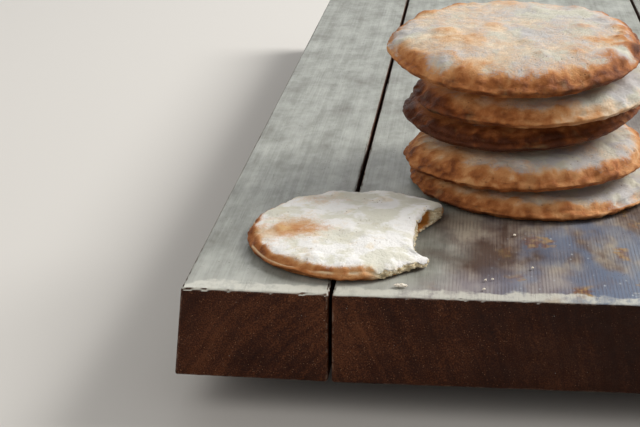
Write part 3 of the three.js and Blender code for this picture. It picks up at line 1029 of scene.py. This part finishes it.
HOLLOW_TURN, HOLLOW_HALF = 23, 10          # direction and half width of the hollow, in degrees
HOLLOW_LEVEL, HOLLOW_HALF_HEIGHT = -0.05, 0.74
HOLLOW_DEPTH = 9 * MM
HOLLOW_WAY = np.array([-0.86, 0.50, 0.0])  # direction in which it runs into the cracker

SEAM_LEVEL, SEAM_SWING, SEAM_HALF = 0.55, 0.22, 0.2
SEAM_DEPTH = 0.45 * MM
SEAM_PIECE = 9 * MM        # size of the pieces it is broken into
PATCH_GRAIN = 4 * MM       # size of the unevenness of the golden patch


def bend_tips(points, polar):
    """Thins the torn front tip, raises the back tip and cuts the notch between them deeper."""
    front_tip = patch(polar, *FRONT_TIP, sharpness=1)
    front_break = polar["broken"] * rise(-polar["y"] / MM, 14, 22) * bell(polar["from_rim"], 5 * MM)
    thin = np.maximum(front_tip, 0.55 * front_break)
    under = rise(-polar["level"], -0.2, 0.6)
    points[:, Z] -= TIP_SINKS * thin * (1 - under)
    points[:, Z] += TIP_LIFTS * front_tip * under
    points[:, Z] += BACK_TIP_RISES * patch(polar, *BACK_TIP, sharpness=1) * (1 - under)
    points[:, Y] -= NOTCH_DEPTH * patch(polar, *NOTCH, sharpness=1)


def sink_hollow(points, polar):
    """Pushes in the hollow between the skins and returns where it is."""
    across = np.clip(1 - ((np.degrees(polar["angle"]) - HOLLOW_TURN) / HOLLOW_HALF) ** 2, 0, 1)
    upright = np.clip(1 - ((polar["level"] - HOLLOW_LEVEL) / HOLLOW_HALF_HEIGHT) ** 2, 0, 1)
    hollow = np.sqrt(across) * np.sqrt(upright) * polar["side"]
    points += HOLLOW_WAY * (HOLLOW_DEPTH * hollow)[:, None]
    return hollow


def sink_seam(points, polar):
    """Presses in the broken pale line where the two skins meet round the rim and returns where it is."""
    angle = polar["angle"]
    seam_level = SEAM_LEVEL + SEAM_SWING * np.sin(3 * angle)
    seam = bell(polar["level"] - seam_level, SEAM_HALF) * polar["side"] * (1 - polar["broken"])
    seam *= rise(lumps(points, SEAM_PIECE, 2, 5.0), -0.25, 0.25)
    inward = np.column_stack([-np.cos(angle), -np.sin(angle), np.zeros(len(angle))])
    points += inward * (SEAM_DEPTH * seam)[:, None]
    return seam


def bite_details(cracker, polar, heat, dust):
    """What only the bitten cracker has: torn tips, hollow between its skins, seam, coloured patches."""
    points = points_of(cracker)
    bend_tips(points, polar)
    hollow = sink_hollow(points, polar)
    seam = sink_seam(points, polar)
    set_points(cracker, points)

    golden, peach, tan = (patch(polar, *place) for place in (GOLDEN, PEACH, TAN))
    uneven = 0.35 * lumps(points, PATCH_GRAIN, 3, 8.0)
    golden = np.clip(golden * (1 + 1.2 * uneven), 0, 1)
    heat = heat + 0.24 * golden + 0.14 * peach + 0.22 * tan + 0.35 * hollow - 0.30 * seam
    dust = dust - 0.62 * golden - 0.40 * peach - 0.38 * tan
    return heat, dust, seam, hollow


# From unbaked to burnt, and from the darkest to the palest of the open crumb.
BAKED_DOUGH = ((0.0, (0.82, 0.70, 0.54)), (0.2, (0.72, 0.505, 0.32)), (0.4, (0.62, 0.30, 0.12)),
               (0.6, (0.42, 0.152, 0.046)), (0.8, (0.20, 0.058, 0.016)), (1.0, (0.08, 0.022, 0.008)))
OPEN_CRUMB = ((0.3, (0.62, 0.40, 0.18)), (0.5, (0.90, 0.76, 0.50)), (0.7, (0.96, 0.90, 0.74)))
STACK_FLOUR = (0.53, 0.525, 0.53)
PALE_FLOUR = (0.95, 0.95, 0.94)
STACK_BLUSH, PALE_BLUSH = 0.12, 0.34       # strength of the yellow-brown blushes
BLUSH = (0.76, 0.58, 0.28)
THIN_FLOUR = (0.66, 0.64, 0.49)
PIT = (0.22, 0.09, 0.04)
HOLLOW = (0.66, 0.28, 0.06)
SEAM = (0.88, 0.70, 0.46)


def cracker_material(name, flour_colour, blush):
    """Baked dough under a dusting of flour, with a pale open crumb where it is torn."""
    recipe = Recipe(name)
    place = recipe.place_mm()
    masks = ("toast", "flour", "torn", "seam", "hollow")
    toast, flour, torn, seam, hollow = (recipe.attribute(mask) for mask in masks)
    coarse = recipe.noise(place, 0.28, 4, 0.6)
    grain = recipe.noise(place, 1.3, 4, 0.7)
    fine = recipe.noise(place, 4.0, 2, 0.6)
    colour = recipe.ramp(toast + (grain - 0.5) * 0.28 + (coarse - 0.5) * 0.28, BAKED_DOUGH)
    thickness = flour + (grain - 0.5) * 0.90 + (coarse - 0.5) * 0.60 + (fine - 0.5) * 0.5
    dusting = thickness.rise(0.16, 0.80)
    colour = recipe.mix(dusting * 0.92, colour, flour_colour)
    colour = recipe.mix(recipe.patches(place, 0.13, 0.54, 0.70, 3, 0.6) * blush, colour, BLUSH)
    thin = recipe.patches(place, 0.085, 0.47, 0.58, 4, 0.6) * dusting
    colour = recipe.mix(thin * 0.6, colour, THIN_FLOUR)
    pits = recipe.cells(place, 0.42).rise(0.15, 0.05) * recipe.patches(place, 0.13, 0.42, 0.6)
    colour = recipe.mix(pits * 0.7, colour, PIT)
    inside = recipe.ramp(recipe.noise(place, 1.6, 4, 0.75), OPEN_CRUMB)
    inside = recipe.mix(hollow.rise(0.0, 0.15), inside, HOLLOW)
    colour = recipe.mix(torn, colour, inside)
    colour = recipe.mix(seam * 0.8, colour, SEAM)
    height = grain + fine * 0.35 + coarse * 1.2 + pits * -0.7
    return recipe.finish({
        "Base Color": colour, "Roughness": 0.82 - toast * 0.36, "Specular IOR Level": 0.15,
        "Normal": recipe.bump(height, 0.6, 0.9)})


def make_cracker(name, blank, segments, material):
    bitten = name == "cracker_bitten"
    cracker = bpy.data.objects.new(name + "_baked", blank.data.copy())
    bpy.context.scene.collection.objects.link(cracker)
    outline = Outline(name, round_centre(name) if bitten else None)
    polar = shape_to_cad(cracker, outline, segments, bitten)
    heat, dust, torn = dress_cracker(cracker, name, polar)
    seam = hollow = np.zeros(len(heat))
    if bitten:
        heat, dust, seam, hollow = bite_details(cracker, polar, heat, dust)
    masks = {"toast": heat, "flour": dust, "torn": torn, "seam": seam, "hollow": hollow}
    for key, values in masks.items():
        set_attribute(cracker, key, np.clip(values, 0, 1))
    smooth_shading(cracker)
    cracker.data.materials.append(material)
    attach(cracker, "root")
    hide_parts(name)


def round_centre(name):
    """The middle of a bitten cracker's round outline: its left, front and back are whole."""
    low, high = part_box(name)
    radius = (high.y - low.y) / 2
    return Vector((low.x + radius, (low.y + high.y) / 2, (low.z + high.z) / 2))


# Vertices round the rim, rings on the top and on the underside, rows up the side.
STACK_MESH = (320, 62, 26, 12)
BITTEN_MESH = (400, 84, 30, 18)


def add_crackers():
    stacked = [name for name in LOOKS if name != "cracker_bitten"]
    baked = cracker_material("cracker_baked", STACK_FLOUR, STACK_BLUSH)
    pale = cracker_material("cracker_pale", PALE_FLOUR, PALE_BLUSH)
    batches = ((stacked, STACK_MESH, baked), (["cracker_bitten"], BITTEN_MESH, pale))
    for names, mesh, material in batches:
        blank = cracker_blank(*mesh)
        for name in names:
            make_cracker(name, blank, mesh[0], material)
        bpy.data.objects.remove(blank)


# ---- Crumbs --------------------------------------------------

CRUMB = ((0.3, (0.62, 0.50, 0.34)), (0.55, (0.86, 0.80, 0.70)), (0.8, (0.92, 0.89, 0.83)))
LONG_CRUMB_SHARE = 0.86    # size of the long crumb as a share of its CAD grain
CRUMB_SHARE = 0.62         # and of the small ones, whose CAD grains are larger than life
CRUMB_RAGGEDNESS = 0.22
CRUMB_GRAIN = 0.5 * MM     # size of its lumps


def crumb_material():
    recipe = Recipe("crumb")
    grain = recipe.noise(recipe.place_mm(), 2.4, 3, 0.7)
    colour = recipe.ramp(grain, CRUMB)
    return recipe.finish({"Base Color": colour, "Roughness": 0.85, "Normal": recipe.bump(grain, 0.25, 0.8)})


def make_crumb(name, seed):
    low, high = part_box(name)
    middle = (low + high) / 2
    clear_selection()
    bpy.ops.mesh.primitive_ico_sphere_add(subdivisions=4, radius=0.5, location=middle, scale=high - low)
    crumb = bpy.context.object
    crumb.name = name + "_bit"
    bake_place(crumb)
    points = points_of(crumb)
    ragged = CRUMB_RAGGEDNESS * lumps(points, CRUMB_GRAIN, 3, seed)
    size = LONG_CRUMB_SHARE if name == "crumb_long" else CRUMB_SHARE
    foot = np.array((middle.x, middle.y, low.z))
    set_points(crumb, foot + (points - foot) * (size + ragged[:, None]))
    smooth_shading(crumb)
    return crumb


def add_crumbs():
    material = crumb_material()
    names = sorted(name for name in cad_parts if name.startswith("crumb"))
    for index, name in enumerate(names):
        crumb = make_crumb(name, 3.0 * index)
        crumb.data.materials.append(material)
        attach(crumb, "root")
        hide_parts(name)


# ---- Build ---------------------------------------------------

clear_selection()
add_camera()
add_studio()
add_planks()
finish_hardware()
add_crackers()
add_crumbs()
clear_selection()
